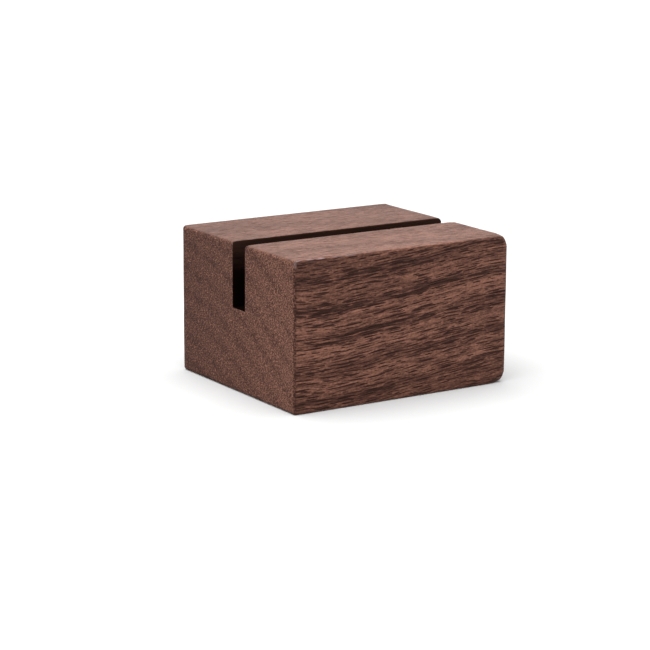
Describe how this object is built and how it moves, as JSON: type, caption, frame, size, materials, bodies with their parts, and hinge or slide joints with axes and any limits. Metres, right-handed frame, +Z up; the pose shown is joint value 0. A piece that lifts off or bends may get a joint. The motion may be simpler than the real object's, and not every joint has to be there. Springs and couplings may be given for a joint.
{
  "type": "table number holder",
  "caption": "Small rectangular walnut block with eased edges and a straight slot sawn through its whole length to stand a card in.",
  "frame": {"origin": "middle of the flat base, under the centre of the bounding box", "axes": "+X along the slot and the grain, the longest side; -Y the front, the wider gap from slot to face being at the back; +Z up, the shortest side, out of the slot's mouth"},
  "size_m": [0.05, 0.043, 0.03],
  "materials": {
    "walnut": "sanded walnut with a thin matt oil: straight pores on the faces, a fine speckle on the end grain"
  },
  "bodies": {
    "root": {"block": "walnut"}
  },
  "joints": []
}
